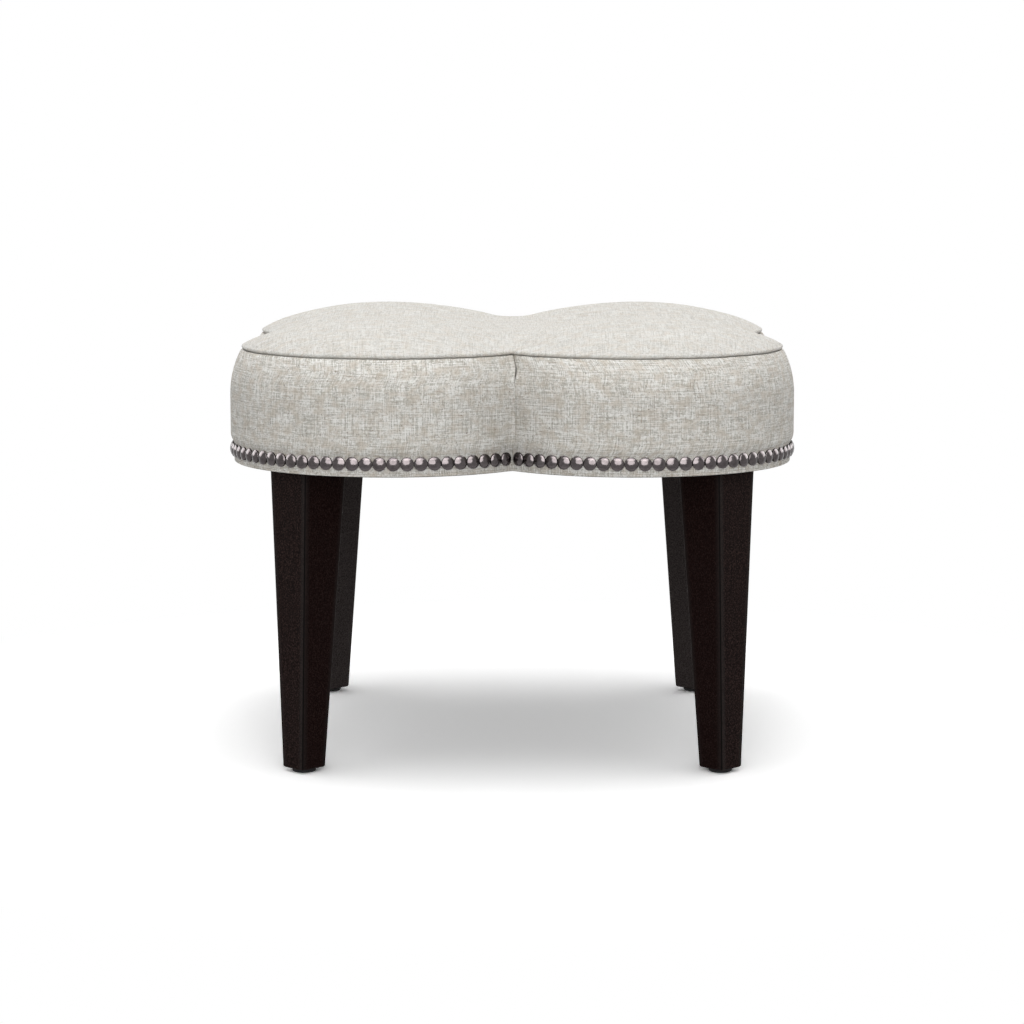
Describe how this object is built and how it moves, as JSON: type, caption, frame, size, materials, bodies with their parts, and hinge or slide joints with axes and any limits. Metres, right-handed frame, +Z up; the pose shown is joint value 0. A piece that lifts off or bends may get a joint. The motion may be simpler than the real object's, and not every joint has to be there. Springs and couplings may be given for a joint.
{
  "type": "ottoman",
  "caption": "Low four-lobed upholstered ottoman with a crowned linen seat, a nailed lower edge and tapered dark wood legs.",
  "frame": {"origin": "on the floor, under the middle of the seat", "axes": "+Z up; -Y is the front, towards one of the four notches; +X to the right seen from the front"},
  "size_m": [0.5812, 0.5812, 0.4557],
  "materials": {
    "espresso_wood": "satin",
    "black_plastic": "matte",
    "zinc_steel": "satin",
    "nail_metal": "satin",
    "plywood": "matte",
    "post_wood": "matte",
    "foam": "matte",
    "batting": "matte",
    "linen_cover": "matte",
    "black_cambric": "matte"
  },
  "bodies": {
    "root": {"base_board": "plywood", "base_screws": "zinc_steel", "cover_boxing_back_left": "linen_cover", "cover_boxing_back_right": "linen_cover", "cover_boxing_front_left": "linen_cover", "cover_boxing_front_right": "linen_cover", "cover_staples": "zinc_steel", "cover_top": "linen_cover", "crown_pad_back_left": "foam", "crown_pad_back_right": "foam", "crown_pad_front_left": "foam", "crown_pad_front_right": "foam", "deck_screws": "zinc_steel", "decorative_nails": "nail_metal", "dust_cover": "black_cambric", "dust_cover_staples": "zinc_steel", "glide_back_left": "black_plastic", "glide_back_right": "black_plastic", "glide_front_left": "black_plastic", "glide_front_right": "black_plastic", "glide_nails": "zinc_steel", "leg_back_left": "espresso_wood", "leg_back_right": "espresso_wood", "leg_bolts": "zinc_steel", "leg_front_left": "espresso_wood", "leg_front_right": "espresso_wood", "leg_post_back_left": "post_wood", "leg_post_back_right": "post_wood", "leg_post_front_left": "post_wood", "leg_post_front_right": "post_wood", "notch_post_back": "post_wood", "notch_post_front": "post_wood", "notch_post_left": "post_wood", "notch_post_right": "post_wood", "rim_skin_back_left": "plywood", "rim_skin_back_right": "plywood", "rim_skin_front_left": "plywood", "rim_skin_front_right": "plywood", "seat_foam": "foam", "side_pad_back_left": "foam", "side_pad_back_right": "foam", "side_pad_front_left": "foam", "side_pad_front_right": "foam", "tee_nuts": "zinc_steel", "top_batting": "batting", "top_deck": "plywood"}
  },
  "joints": []
}
